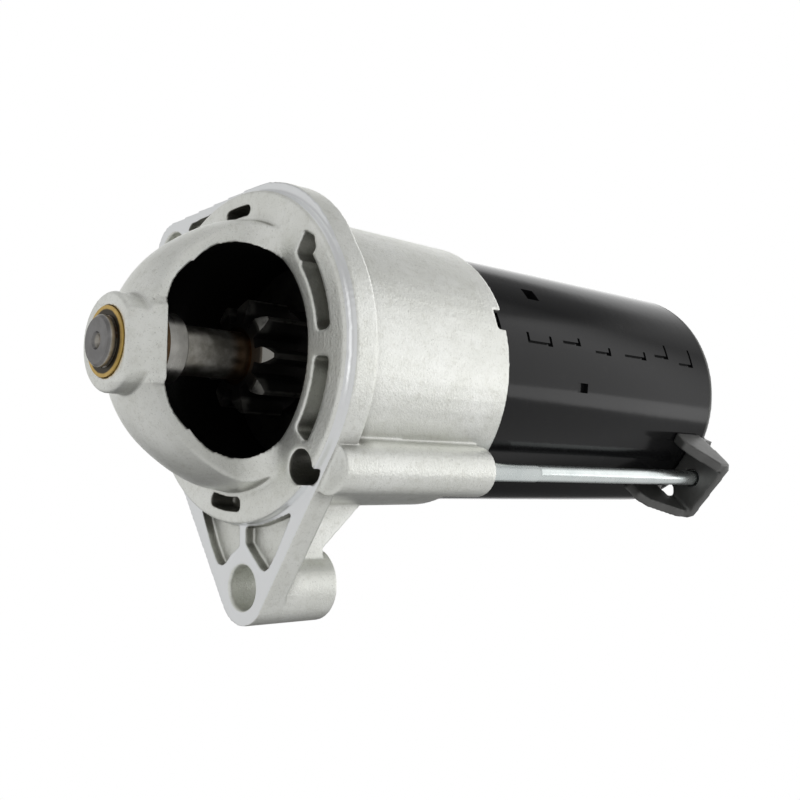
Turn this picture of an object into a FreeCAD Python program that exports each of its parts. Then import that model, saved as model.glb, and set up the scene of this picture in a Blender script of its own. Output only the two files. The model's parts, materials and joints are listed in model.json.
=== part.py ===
"""Starter motor with planetary reduction: each piece is a separate solid in its own STEP file.

Row frame: origin at the centre of the mounting flange's front face, +X along the shaft towards the
rear of the motor, +Z up, the solenoid on the +Y side. All lengths are in millimetres.
Angles across the axis are measured from +Y towards +Z.
"""

import FreeCAD, Part
import math
import os

V = FreeCAD.Vector
AXIS = V(1, 0, 0)

# Flange, pilot and ears
FLANGE_T = 6.6
FLANGE_R = 41.9
BULGE_CENTRE = (-3.75, 9.27)
BULGE_R = 33.9
PILOT_R = 41.25
PILOT_X = -2.7
LOWER_EAR = (0.5, -56.8)
LOWER_EAR_R = 9.3
UPPER_EAR = (36.2, 32.4)
UPPER_EAR_R = 8.4
EAR_HOLE_R = 5.5
EAR_CHAMFER = 0.55
LOWER_EAR_BACK = 23.0
POCKET_DEPTH = 2.6
CORING_BACK_X = 4.4
CORE_HOLE_R = 4.1
CORE_HOLE_CENTRE = (-25.45, -27.68)
CORE_HOLE_BACK_X = 14.0
WEB_HALF_T = 6.0

# Nose and drive housing
NOSE_X = -38.3
NOSE_R = 11.6
NOSE_INNER_X = -28.3
CHAMBER_R = 27.6
BODY_FRONT_R = 37.2
BODY_REAR_R = 36.55
BODY_REAR_X = 57.5
SEAT_X = 50.0
SEAT_R = 35.05
LEVER_FRONT_X = 15.0
LEVER_REAR_X = 47.0
LEVER_HALF_Z = 22.5
WALL = 3.0
WINDOW_Y = (-9.0, -13.0)
WINDOW_BLEND_R = 8.0
FACET_HALF_Z = 9.0
FACET_TILT = 4.0
NOTCH_DEPTH = 3.2
NOTCH_HALF_W = 2.8
NOTCH_ANGLE = 160.5

# Yoke and rear end
YOKE_R = 35.0
YOKE_IN_R = 32.0
YOKE_FRONT_X = 53.5
YOKE_REAR_X = 157.5
END_X = 159.5

# Through-bolts, opposite each other
BOLT_PITCH_R = 41.7
BOLT_ANGLES = (221.8, 41.8)
BOLT_R = 2.3
THREAD_R = 2.45
THREAD_X = (20.0, 74.0)
BOLT_BOSS_R = 6.5
BOLT_BOSS_X = 51.0
LUG_X = 151.5
LUG_T = 3.0
LUG_HALF_W = 11.5
LUG_TOP_R = 49.2
LUG_WALL_T = 3.0
BOLT_WASHER_T = 1.2

# Drive shaft line
SHAFT_R = 5.97
SHAFT_TIP_X = -40.7
BUSH_R = 8.15
RUN_GAP = 0.05
SPLINE_TEETH = 10
SPLINE_R = 8.4
SPLINE_X = (13.0, 49.0)
SHAFT_REAR_X = 57.0
JOURNAL_R = 8.0
PILOT_JOURNAL_R = 4.0

# Pinion and clutch at rest
PINION_TEETH = 9
PINION_MODULE = 2.54
PINION_TIP_R = 14.2
PINION_ROOT_R = 8.5
PINION_X = (-3.6, 9.4)
PINION_BUSH_REAR_X = 11.9
RACE_R = 13.0
RACE_BORE_R = 9.0
CLUTCH_X = (14.5, 30.0)
CLUTCH_R = 24.0
SLEEVE_REAR_X = 49.0
SLEEVE_R = 12.5
GROOVE_X = (39.5, 45.0)
GROOVE_FLANGE_R = 15.6
ROLLERS = 6
ROLLER_R = 2.6

# Planetary reduction
MODULE = 1.15
SUN_TEETH = 12
PLANET_TEETH = 18
RING_TEETH = 48
PLANETS = 3
GEAR_X = (58.5, 66.5)
CENTRE_DISTANCE = MODULE * (SUN_TEETH + PLANET_TEETH) / 2
BACKLASH = 0.12

# Motor
ARMATURE_R = 23.4
CORE_X = (84.0, 124.0)
COMMUTATOR_X = (134.0, 149.0)
COMMUTATOR_R = 14.5
COMMUTATOR_BARS = 22
ARMATURE_SLOTS = 22
MAGNETS = 6
MAGNET_X = (82.0, 126.0)
BRUSHES = 4
BRUSH_PLATE_X = (150.3, 152.0)

# Shift fork and solenoid
SOL_Y = 62.0
SOL_R = 23.5
SOL_X = (47.0, 104.0)
TRAVEL = 17.5
FORK_PIVOT_Y = 38.75
PIVOT_X = (GROOVE_X[0] + GROOVE_X[1]) / 2 - TRAVEL / 2
FORK_LOWER = FORK_PIVOT_Y
FORK_UPPER = SOL_Y - FORK_PIVOT_Y
FORK_TILT = math.degrees(math.asin(TRAVEL / 2 / FORK_LOWER))
PLUNGER_R = 10.0
PLUNGER_REAR_X = 67.0
CAP_X = (104.0, 116.0)
STUD_R = 4.0
BATTERY_STUD = (SOL_Y + 9.0, 6.0)
MOTOR_STUD = (SOL_Y - 9.0, -6.0)
SOL_LUG_R = 28.2
SOL_LUGS = ((SOL_Y, SOL_LUG_R), (SOL_Y, -SOL_LUG_R), (SOL_Y + SOL_LUG_R, 0.0))
LEAD_X = 139.0
LEAD_Z = -6.0
LEAD_R = 2.4
LEAD_START_Y = 45.4
LEAD_BEND = 4.4
RING_TERMINAL_X = (123.0, 124.2)
NUT_X = ((118.0, 122.8), (125.4, 131.4))
NUT_FLATS = 13.0
RELIEF_X = (122.8, 124.0)
RELIEF_R = 3.3
BATTERY_STUD_END = 138.0
MOTOR_STUD_END = 134.0

# Lanced marks along the near side of the yoke: start x, end x, lower edge angle, rise in degrees
YOKE_MARKS = ((67.5, 78.0, 168.5, 5.0), (83.0, 91.0, 166.0, 4.0), (97.5, 105.0, 168.5, 4.0),
              (112.0, 123.0, 168.0, 4.5), (128.0, 135.5, 165.5, 8.0), (141.0, 149.0, 168.0, 10.0))
MARK_W = 1.0
MARK_DEPTH = 0.8
DIMPLE_DEPTH = 1.3


# ---- shape helpers ----

def polar(r, degrees):
    """(y, z) of a point at radius r."""
    a = math.radians(degrees)
    return r * math.cos(a), r * math.sin(a)


def rod(x0, x1, r, y=0.0, z=0.0):
    return Part.makeCylinder(r, x1 - x0, V(x0, y, z), AXIS)


def tube(x0, x1, r_out, r_in, y=0.0, z=0.0):
    return rod(x0, x1, r_out, y, z).cut(rod(x0 - 1, x1 + 1, r_in, y, z))


def block(x0, x1, y0, y1, z0, z1):
    return Part.makeBox(x1 - x0, y1 - y0, z1 - z0, V(x0, y0, z0))


def polygon(points):
    return Part.Face(Part.makePolygon(list(points) + [points[0]]))


def across(points, x0, x1):
    """Prism along X of a (y, z) outline."""
    return polygon([V(x0, y, z) for y, z in points]).extrude(V(x1 - x0, 0, 0))


def along(points, z0, z1):
    """Prism along Z of an (x, y) outline."""
    return polygon([V(x, y, z0) for x, y in points]).extrude(V(0, 0, z1 - z0))


def turned(points, smooth=None):
    """Solid of revolution about the X axis of an (x, r) outline; a smooth curve may close its top."""
    edges = []
    if smooth:
        curve = Part.BSplineCurve()
        curve.interpolate([V(x, r, 0) for x, r in smooth])
        edges.append(curve.toShape())
        points = [smooth[-1]] + list(points) + [smooth[0]]
    else:
        points = list(points) + [points[0]]
    for a, b in zip(points, points[1:]):
        edges.append(Part.makeLine(V(a[0], a[1], 0), V(b[0], b[1], 0)))
    return Part.Face(Part.Wire(edges)).revolve(V(0, 0, 0), AXIS, 360)


def placed(shape, y, z):
    copy = shape.copy()
    copy.translate(V(0, y, z))
    return copy


def spun(shape, degrees):
    copy = shape.copy()
    copy.rotate(V(0, 0, 0), AXIS, degrees)
    return copy


def sector(x0, x1, r_in, r_out, a0, a1):
    """Part of a ring between two angles."""
    def at(r, a):
        y, z = polar(r, a)
        return V(x0, y, z)
    mid = (a0 + a1) / 2
    edges = [
        Part.Arc(at(r_out, a0), at(r_out, mid), at(r_out, a1)).toShape(),
        Part.makeLine(at(r_out, a1), at(r_in, a1)),
        Part.Arc(at(r_in, a1), at(r_in, mid), at(r_in, a0)).toShape(),
        Part.makeLine(at(r_in, a0), at(r_out, a0)),
    ]
    return Part.Face(Part.Wire(edges)).extrude(V(x1 - x0, 0, 0))


def rounded(shape, r):
    """The shape with every edge that runs along X rounded."""
    edges = []
    for edge in shape.Edges:
        a, b = edge.Vertexes[0].Point, edge.Vertexes[-1].Point
        if abs(a.y - b.y) + abs(a.z - b.z) < 1e-6 and abs(a.x - b.x) > 1e-6:
            edges.append(edge)
    return shape.makeFillet(r, edges)


def hexagon(x0, x1, flats, y, z, r_in=0.0):
    corners = [polar(flats / math.sqrt(3), 60 * i) for i in range(6)]
    shape = placed(across(corners, x0, x1), y, z)
    shape = shape.common(turned_cap(x0, x1, flats / math.sqrt(3), y, z))
    return shape.cut(rod(x0 - 1, x1 + 1, r_in, y, z)) if r_in else shape


def turned_cap(x0, x1, r, y, z):
    """Round blank whose ends are bevelled, for hexagon corners."""
    bevel = r * 0.12
    outline = [(x0, 0), (x0, r - bevel), (x0 + bevel / 2, r), (x1 - bevel / 2, r), (x1, r - bevel)]
    outline.append((x1, 0))
    return placed(turned(outline), y, z)


def gear(x0, x1, teeth, module, tip_r, root_r, thinning, phase=0.0, pressure=25.0, steps=4):
    """External spur gear with involute flanks; the first tooth's centre is at the phase angle."""
    pitch_r = teeth * module / 2
    base_r = pitch_r * math.cos(math.radians(pressure))

    def involute(r):
        a = math.acos(min(1.0, base_r / r))
        return math.tan(a) - a

    half = (math.pi * module / 2 - thinning) / (2 * pitch_r) + involute(pitch_r)
    start = max(root_r, base_r)
    flank = [(start + (tip_r - start) * i / steps) for i in range(steps + 1)]
    profile = [(r, half - involute(r)) for r in flank]
    if root_r < base_r:
        profile.insert(0, (root_r, half))
    outline = []
    for tooth in range(teeth):
        centre = math.radians(phase + 360.0 * tooth / teeth)
        outline += [polar(r, math.degrees(centre - a)) for r, a in profile]
        outline += [polar(r, math.degrees(centre + a)) for r, a in reversed(profile)]
    return across(outline, x0, x1)


def fused(shapes):
    shapes = list(shapes)
    return shapes[0].multiFuse(shapes[1:]).removeSplitter()


def save(name, *shapes):
    shape = shapes[0] if len(shapes) == 1 else Part.makeCompound(list(shapes))
    shape.exportStep("parts/" + name + ".step")


# ---- drive housing ----

def belt(x0, x1, big_centre, big_r, small_centre, small_r):
    """Two discs joined by their outer tangents."""
    dy = small_centre[0] - big_centre[0]
    dz = small_centre[1] - big_centre[1]
    angle = math.degrees(math.atan2(dz, dy))
    lean = math.degrees(math.acos((big_r - small_r) / math.hypot(dy, dz)))
    outline = []
    for centre, r, sides in ((big_centre, big_r, (-1, 1)), (small_centre, small_r, (1, -1))):
        for side in sides:
            y, z = polar(r, angle + side * lean)
            outline.append((centre[0] + y, centre[1] + z))
    return [across(outline, x0, x1), rod(x0, x1, big_r, *big_centre), rod(x0, x1, small_r, *small_centre)]


def flange_outline(x0, x1):
    """Flange disc with a bulge over the bolt side, joined to both ears by straight tangents."""
    axis = (0.0, 0.0)
    parts = belt(x0, x1, axis, FLANGE_R, LOWER_EAR, LOWER_EAR_R)
    parts += belt(x0, x1, axis, FLANGE_R, UPPER_EAR, UPPER_EAR_R)
    parts += belt(x0, x1, BULGE_CENTRE, BULGE_R, UPPER_EAR, UPPER_EAR_R)
    return fused(parts)


def dome():
    """Nose dome and shaft boss, before the near side is opened."""
    outer = [(-33.0, 10.6), (-30.5, 16.1), (-25.0, 23.2), (-18.0, 28.4), (-11.0, 32.0),
             (PILOT_X + 0.5, 33.4)]
    cover = turned([(PILOT_X + 0.5, 0), (-33.0, 0)], smooth=outer)
    edge = 0.8
    boss = turned([(NOSE_X, 0), (NOSE_X, NOSE_R - edge), (NOSE_X + edge, NOSE_R), (NOSE_INNER_X, NOSE_R),
                   (NOSE_INNER_X, 0)])
    return cover.fuse(boss)


def chamber():
    """Space inside the dome and the housing for the pinion and clutch."""
    inner = [(NOSE_INNER_X, 14.2), (-25.3, 19.2), (-21.2, 22.6), (-17.4, 25.4), (-12.0, 27.3),
             (-3.0, CHAMBER_R)]
    front = turned([(-3.0, 0), (NOSE_INNER_X, 0)], smooth=inner)
    return front.fuse(rod(-3.2, SEAT_X + 1, CHAMBER_R))


def lever_case():
    """Side chamber that holds the shift fork and carries the solenoid."""
    shapes = [
        block(LEVER_FRONT_X, LEVER_REAR_X, 20, SOL_Y, -LEVER_HALF_Z, LEVER_HALF_Z),
        rod(LEVER_FRONT_X, LEVER_REAR_X, 23.0, SOL_Y, 0),
        rod(LEVER_REAR_X - 6, LEVER_REAR_X, 24.5, SOL_Y, 0),
    ]
    for y, z in SOL_LUGS:
        shapes.append(rod(LEVER_REAR_X - 14, LEVER_REAR_X, 5.5, y, z))
        inward = (SOL_Y + (y - SOL_Y) * 0.7, z * 0.7)
        shapes.append(rod(LEVER_REAR_X - 14, LEVER_REAR_X, 5.5, *inward))
    return fused(shapes)


def lever_space():
    front = LEVER_FRONT_X + WALL
    rear = LEVER_REAR_X - WALL
    inner_z = LEVER_HALF_Z - WALL
    return fused([
        block(front, rear, 10, SOL_Y, -inner_z, inner_z),
        rod(front, rear, 20.0, SOL_Y, 0),
        rod(rear - 1, LEVER_REAR_X + 1, 14.0, SOL_Y, 0),
    ])


def face_pockets():
    """Coring pockets in the pilot face."""
    front = PILOT_X - 0.1
    head = [(-22.8, 22.6), (-26.0, 27.0), (-29.5, 25.1), (-30.0, 22.0), (-27.0, 19.5), (-24.0, 20.5)]
    return [
        rounded(sector(front, CORING_BACK_X, 31.1, 35.6, 141.0, 174.5), 1.3),
        rounded(across(head, front, CORING_BACK_X), 0.8),
        rounded(sector(front, CORING_BACK_X, 30.2, 35.4, 185.0, 219.0), 1.3),
        rounded(sector(front, CORING_BACK_X, 34.8, 38.2, 267.0, 287.0), 1.3),
        rounded(sector(front, CORING_BACK_X, 35.2, 37.8, 80.0, 96.0), 1.1),
    ]


def ear_pockets():
    """Coring pockets in the flange face beside the pilot."""
    left = [(19.3, -37.4), (14.6, -46.5), (12.1, -50.2), (10.9, -51.5), (9.0, -51.7), (7.6, -51.0),
            (5.2, -48.7), (2.4, -47.1), (1.7, -46.5), (1.7, -41.95), (7.5, -41.35), (13.5, -39.75)]
    right = [(-0.8, -42.0), (-0.8, -46.0), (-2.9, -48.0), (-5.4, -50.2), (-7.2, -51.8), (-8.8, -52.3),
             (-10.4, -51.4), (-12.9, -48.1), (-16.0, -43.4), (-19.2, -38.1), (-13.0, -39.95), (-7.0, -41.4)]
    upper = [(11.6, 40.0), (27.5, 38.8), (28.6, 37.6), (28.2, 32.4), (22.0, 36.1), (16.5, 38.7)]
    return [across(points, -0.1, POCKET_DEPTH) for points in (left, right, upper)]


def window_cutter():
    """Prism over the near side of the nose, blended into the pilot face."""
    front_y, rear_y = WINDOW_Y
    outline = [(NOSE_X - 5, front_y), (NOSE_X, front_y), (PILOT_X, rear_y), (PILOT_X, -60), (NOSE_X - 5, -60)]
    cutter = along(outline, -60, 60)
    corner = [edge for edge in cutter.Edges
              if all(abs(v.X - PILOT_X) + abs(v.Y - rear_y) < 1e-6 for v in edge.Vertexes)]
    return cutter.makeFillet(WINDOW_BLEND_R, corner)


def window():
    """Opening that lets the ring gear reach the pinion: a middle facet and one that leans away each side."""
    cuts = [window_cutter()]
    for side in (-1, 1):
        lean = window_cutter()
        lean.rotate(V(0, sum(WINDOW_Y) / 2, side * FACET_HALF_Z), AXIS, -side * FACET_TILT)
        z0, z1 = sorted((side * (FACET_HALF_Z - 1), side * 60.0))
        cuts.append(lean.common(block(NOSE_X - 10, PILOT_X, -70, 20, z0, z1)))
    return cuts


def drive_housing():
    fillet = turned([(FLANGE_T - 1, 30), (FLANGE_T, 41.0), (FLANGE_T + 1.2, 38.9), (FLANGE_T + 3.5, 37.2),
                     (FLANGE_T + 3.5, 30)])
    body = turned([(1, 0), (1, BODY_FRONT_R), (BODY_REAR_X, BODY_REAR_R), (BODY_REAR_X, 0)])
    pilot_edge = 0.6
    pilot = turned([(PILOT_X, 0), (PILOT_X, PILOT_R - pilot_edge), (PILOT_X + pilot_edge, PILOT_R),
                    (1, PILOT_R), (1, 0)])
    web = [(2, -34), (33.5, -34), (32.7, -36.7), (20.5, -47.4), (20.5, -57), (2, -57)]
    gusset = polygon([V(x, -WEB_HALF_T, z) for x, z in web]).extrude(V(0, 2 * WEB_HALF_T, 0))
    shapes = [flange_outline(0, FLANGE_T), pilot, dome(), body, fillet, gusset, lever_case()]
    shapes.append(rod(0, LOWER_EAR_BACK, LOWER_EAR_R, *LOWER_EAR))
    for angle in BOLT_ANGLES:
        shapes.append(rod(1, BOLT_BOSS_X, BOLT_BOSS_R, *polar(BOLT_PITCH_R, angle)))
    housing = fused(shapes)

    cuts = [chamber(), lever_space(), rod(SEAT_X, BODY_REAR_X + 1, SEAT_R)] + window()
    cuts.append(rod(NOSE_X - 1, NOSE_INNER_X + 1, BUSH_R))
    for angle in BOLT_ANGLES:
        y, z = polar(BOLT_PITCH_R, angle)
        cuts.append(rod(THREAD_X[0] - 3, BOLT_BOSS_X + 1, THREAD_R + RUN_GAP, y, z))
    cuts.append(rod(PILOT_X - 1, CORE_HOLE_BACK_X, CORE_HOLE_R, *CORE_HOLE_CENTRE))
    for ear, back in ((LOWER_EAR, LOWER_EAR_BACK), (UPPER_EAR, FLANGE_T)):
        cuts.append(rod(-1, back + 1, EAR_HOLE_R, *ear))
        for x, side in ((0.0, 1), (back, -1)):
            cone = Part.makeCone(EAR_HOLE_R + EAR_CHAMFER, EAR_HOLE_R, EAR_CHAMFER, V(x, *ear), V(side, 0, 0))
            cuts.append(cone)
    cuts += face_pockets() + ear_pockets()
    cuts.append(notch(BODY_REAR_X - NOTCH_DEPTH, BODY_REAR_X + 1, YOKE_R - 2))
    pin_z = LEVER_HALF_Z + 1
    cuts.append(Part.makeCylinder(3.0, 2 * pin_z, V(PIVOT_X, FORK_PIVOT_Y, -pin_z), V(0, 0, 1)))
    for y, z in SOL_LUGS:
        cuts.append(rod(LEVER_REAR_X - 10, LEVER_REAR_X + 1, 2.5, y, z))
    return housing.cut(cuts).removeSplitter()


# ---- drive shaft line ----

def snap_groove():
    return (-25.4, -23.6)


def drive_shaft():
    x0, x1 = snap_groove()
    tip = SHAFT_TIP_X
    outline = [
        (tip, 0), (tip, 5.3), (tip + 0.7, SHAFT_R), (tip + 1.5, SHAFT_R), (tip + 1.6, 5.6), (tip + 2.1, 5.6),
        (tip + 2.2, SHAFT_R), (x0, SHAFT_R), (x0, 5.3), (x1, 5.3), (x1, SHAFT_R), (SPLINE_X[0], SHAFT_R),
        (SPLINE_X[0], 7.0), (SPLINE_X[1], 7.0), (SPLINE_X[1], JOURNAL_R), (SHAFT_REAR_X, JOURNAL_R),
        (SHAFT_REAR_X, 0),
    ]
    spline = gear(SPLINE_X[0], SPLINE_X[1], SPLINE_TEETH, 1.55, SPLINE_R, 6.8, 0.25)
    shaft = turned(outline).fuse(spline)
    centre = Part.makeCone(2.1, 0.9, 2.0, V(tip, 0, 0), AXIS).fuse(rod(tip, tip + 4, 0.9))
    return shaft.cut([centre, rod(44, SHAFT_REAR_X + 1, PILOT_JOURNAL_R + RUN_GAP)])


def stop_collar():
    x0, x1 = snap_groove()
    edge = 0.5
    outline = [(-27.1, SHAFT_R + RUN_GAP), (-27.1, 7.7), (-27.1 + edge, 8.3), (-21.5 - edge, 8.3),
               (-21.5, 7.7), (-21.5, SHAFT_R + RUN_GAP)]
    return turned(outline).cut(tube(x0, x1, 7.0, 5.0))


def pinion():
    teeth = gear(*PINION_X, PINION_TEETH, PINION_MODULE, PINION_TIP_R, PINION_ROOT_R, 0.1,
                 phase=184.0, pressure=20.0, steps=6)
    x0, x1 = PINION_X
    blank = turned([(x0, 0), (x0, 11.6), (x0 + 1.6, PINION_TIP_R + 0.1), (x1, PINION_TIP_R + 0.1), (x1, 0)])
    race = rod(PINION_X[1], CLUTCH_X[1] - 1.5, RACE_R)
    bush_r = SHAFT_R + RUN_GAP + 1.2
    bore = turned([(x0 - 1, 0), (x0 - 1, bush_r), (12, bush_r), (12, RACE_BORE_R), (40, RACE_BORE_R),
                   (40, 0)])
    return teeth.common(blank).fuse(race).cut(bore)


def roller_pocket(r, gap, angle):
    y, z = polar(RACE_R + r + gap, angle)
    return y, z


def clutch_shell():
    """Outer race, driver sleeve with internal spline, and the shift groove."""
    x0, x1 = CLUTCH_X
    g0, g1 = GROOVE_X
    outline = [
        (x0 + 1.5, RACE_R + 0.1), (x0 + 1.5, CLUTCH_R), (x1 - 1, CLUTCH_R), (x1, CLUTCH_R - 1),
        (x1, SLEEVE_R), (g0 - 1, SLEEVE_R), (g0 - 1, GROOVE_FLANGE_R), (g0, GROOVE_FLANGE_R), (g0, SLEEVE_R),
        (g1, SLEEVE_R),
        (g1, GROOVE_FLANGE_R), (g1 + 1, GROOVE_FLANGE_R), (g1 + 1, SLEEVE_R), (SLEEVE_REAR_X, SLEEVE_R),
        (SLEEVE_REAR_X, 6.0), (x1 - 1.4, 6.0), (x1 - 1.4, RACE_R + 0.1),
    ]
    shell = turned(outline)
    spline = gear(x1 - 2, SLEEVE_REAR_X + 1, SPLINE_TEETH, 1.55, SPLINE_R + 0.15, 7.15, -0.05)
    cuts = [spline]
    for i in range(ROLLERS):
        angle = 360.0 * i / ROLLERS + 15
        y, z = roller_pocket(ROLLER_R, 0.02, angle)
        cuts.append(rod(x0 + 3, x1 - 3.4, ROLLER_R + 0.05, y, z))
        lead_in = polar(RACE_R + 2.2, angle + 11)
        cuts.append(rod(x0 + 3, x1 - 3.4, 2.1, *lead_in))
    return shell.cut(cuts)


def clutch_rollers():
    rollers = []
    for i in range(ROLLERS):
        y, z = roller_pocket(ROLLER_R, 0.02, 360.0 * i / ROLLERS + 15)
        rollers.append(rod(CLUTCH_X[0] + 3.2, CLUTCH_X[1] - 3.6, ROLLER_R, y, z))
    return rollers


def clutch_springs():
    springs = []
    for i in range(ROLLERS):
        y, z = polar(RACE_R + 2.2, 360.0 * i / ROLLERS + 15 + 14.5)
        springs.append(tube(CLUTCH_X[0] + 6, CLUTCH_X[1] - 6.5, 1.1, 0.7, y, z))
    return springs


def clutch_cover():
    x0 = CLUTCH_X[0]
    return turned([(x0, RACE_R + 0.15), (x0, CLUTCH_R + 0.8), (CLUTCH_X[1] - 3, CLUTCH_R + 0.8),
                   (CLUTCH_X[1] - 3, CLUTCH_R), (x0 + 1.5, CLUTCH_R), (x0 + 1.5, RACE_R + 0.15)])


# ---- planetary reduction ----

def planet_angle(i):
    return 90.0 + 360.0 * i / PLANETS


def planet_phase(i):
    """Angle of a planet tooth that puts a space of the planet on a sun tooth."""
    a = planet_angle(i)
    return a + 180 + a * SUN_TEETH / PLANET_TEETH + 180.0 / PLANET_TEETH


def planet_gear(i):
    pitch = MODULE * PLANET_TEETH / 2
    shape = gear(*GEAR_X, PLANET_TEETH, MODULE, pitch + MODULE, pitch - 1.25 * MODULE, BACKLASH,
                 planet_phase(i))
    shape = shape.cut(rod(GEAR_X[0] - 1, GEAR_X[1] + 1, 3.5 + RUN_GAP))
    return placed(shape, *polar(CENTRE_DISTANCE, planet_angle(i)))


def ring_gear():
    pitch = MODULE * RING_TEETH / 2
    space = (planet_phase(0) + 180.0 / PLANET_TEETH - planet_angle(0)) * PLANET_TEETH / RING_TEETH
    phase = planet_angle(0) + space + 180.0 / RING_TEETH
    teeth = gear(GEAR_X[0] - 6, GEAR_X[1] + 3, RING_TEETH, MODULE, pitch + 1.25 * MODULE,
                 pitch - MODULE, -BACKLASH, phase)
    return rod(SEAT_X + 4.1, GEAR_X[1] + 1.5, YOKE_IN_R - 0.05).cut(teeth)


def centre_plate():
    """Plate that carries the rear of the drive shaft, clamped between the housing and the yoke."""
    x0 = SEAT_X + 0.1
    x1 = YOKE_FRONT_X - 0.05
    plate = rod(x0, x1, SEAT_R - 0.05).fuse(rod(SEAT_X - 0.4, x1 + 0.5, 12.5))
    holes = [rod(x0 - 1, x1 + 1, 3.0, *polar(25, 60 * i + 30)) for i in range(6)]
    return plate.cut(rod(SEAT_X - 1, x1 + 1, 10.0)).cut(holes)


def carrier():
    x0, x1 = YOKE_FRONT_X + 0.9, GEAR_X[0] - 0.7
    disc = fused([rod(x0, x1, 12.0)] + [rod(x0, x1, 6.5, *polar(CENTRE_DISTANCE, planet_angle(i)))
                                       for i in range(PLANETS)] + [tube(x0, x1, 21.5, 5.0)])
    cuts = [rod(x0 - 1, x1 + 1, JOURNAL_R)]
    cuts += [rod(x0 - 1, x1 + 1, 3.5, *polar(CENTRE_DISTANCE, planet_angle(i))) for i in range(PLANETS)]
    return disc.cut(cuts)


# ---- motor ----

def armature_shaft():
    outline = [
        (46, 0), (46, 3.4), (46.6, PILOT_JOURNAL_R - 0.03), (GEAR_X[0] - 1.2, PILOT_JOURNAL_R - 0.03),
        (GEAR_X[0] - 1.2, 5.3), (69.5, 5.3), (69.5, 6.0), (150, 6.0), (150, 4.97), (156.8, 4.97), (156.8, 0),
    ]
    pitch = MODULE * SUN_TEETH / 2
    sun = gear(GEAR_X[0] - 0.6, GEAR_X[1] + 0.8, SUN_TEETH, MODULE, pitch + MODULE, pitch - 1.25 * MODULE,
               BACKLASH)
    return turned(outline).fuse(sun)


def armature_core():
    core = rod(*CORE_X, ARMATURE_R)
    slots = []
    for i in range(ARMATURE_SLOTS):
        slots.append(spun(block(CORE_X[0] - 1, CORE_X[1] + 1, 16.0, ARMATURE_R - 1.2, -1.2, 1.2),
                          360.0 * i / ARMATURE_SLOTS))
        slots.append(spun(block(CORE_X[0] - 1, CORE_X[1] + 1, ARMATURE_R - 1.6, 30, -0.5, 0.5),
                          360.0 * i / ARMATURE_SLOTS))
    return core.cut(slots).cut(rod(CORE_X[0] - 1, CORE_X[1] + 1, 6.0))


def armature_winding():
    bars = []
    for i in range(ARMATURE_SLOTS):
        bars.append(spun(block(CORE_X[0] - 1, CORE_X[1] + 1, 16.3, ARMATURE_R - 1.9, -0.95, 0.95),
                         360.0 * i / ARMATURE_SLOTS))
    front = turned([(CORE_X[0] - 9.5, 11), (CORE_X[0] - 9.5, 18), (CORE_X[0] - 7.5, 20.5),
                    (CORE_X[0] - 0.5, 21.4), (CORE_X[0] - 0.5, 11)])
    rear = turned([(CORE_X[1] + 0.5, 11), (CORE_X[1] + 0.5, 21.4), (CORE_X[1] + 6.5, 20.0),
                   (CORE_X[1] + 8.5, 17), (CORE_X[1] + 8.5, 11)])
    return fused([front, rear] + bars)


def commutator():
    x0, x1 = COMMUTATOR_X
    shape = turned([(x0, 6), (x0, 16.5), (x0 + 2, 16.5), (x0 + 2, COMMUTATOR_R), (x1, COMMUTATOR_R), (x1, 6)])
    gaps = [spun(block(x0 + 2.2, x1 + 1, COMMUTATOR_R - 0.8, 20, -0.3, 0.3), 360.0 * i / COMMUTATOR_BARS)
            for i in range(COMMUTATOR_BARS)]
    return shape.cut(gaps)


def magnet(i):
    middle = 360.0 * i / MAGNETS + 30
    return sector(*MAGNET_X, ARMATURE_R + 0.7, YOKE_IN_R - 0.05, middle - 23, middle + 23)


def magnet_clip(i):
    middle = 360.0 * i / MAGNETS
    x0, x1 = MAGNET_X
    return sector(x0 - 1, x1 + 1, YOKE_IN_R - 1.3, YOKE_IN_R - 0.05, middle - 6.5, middle + 6.5)


def yoke_mark(x0, x1, low, rise):
    """L-shaped lanced line: a lower edge along the yoke and an end that rises from it."""
    r_in, r_out = YOKE_R - MARK_DEPTH, YOKE_R + 1
    degrees = math.degrees(MARK_W / YOKE_R)
    line = sector(x0, x1, r_in, r_out, low - degrees, low)
    end = sector(x1 - MARK_W, x1, r_in, r_out, low - rise, low)
    return line.fuse(end)


def notch(x0, x1, r_in):
    """Locating notch at the joint of the housing and the yoke."""
    return spun(block(x0, x1, r_in, 40, -NOTCH_HALF_W, NOTCH_HALF_W), NOTCH_ANGLE)


def yoke_tube():
    shell = tube(YOKE_FRONT_X, YOKE_REAR_X, YOKE_R, YOKE_IN_R)
    cuts = [yoke_mark(*mark) for mark in YOKE_MARKS]
    cuts.append(sector(67.5, 67.5 + MARK_W, YOKE_R - MARK_DEPTH, YOKE_R + 1, 163.0, 168.5))
    cuts.append(sector(88.3, 92.8, YOKE_R - DIMPLE_DEPTH, YOKE_R + 1, 183.5, 188.0))
    cuts.append(notch(BODY_REAR_X - NOTCH_DEPTH, BODY_REAR_X - 0.1, YOKE_IN_R + 0.8))
    cuts.append(sector(74.6, 79.6, YOKE_IN_R - 1, YOKE_R + 1, 136.5, 143.5))
    cuts.append(Part.makeCylinder(4.5, 12, V(LEAD_X, 27, LEAD_Z), V(0, 1, 0)))
    return shell.cut(cuts)


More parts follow.
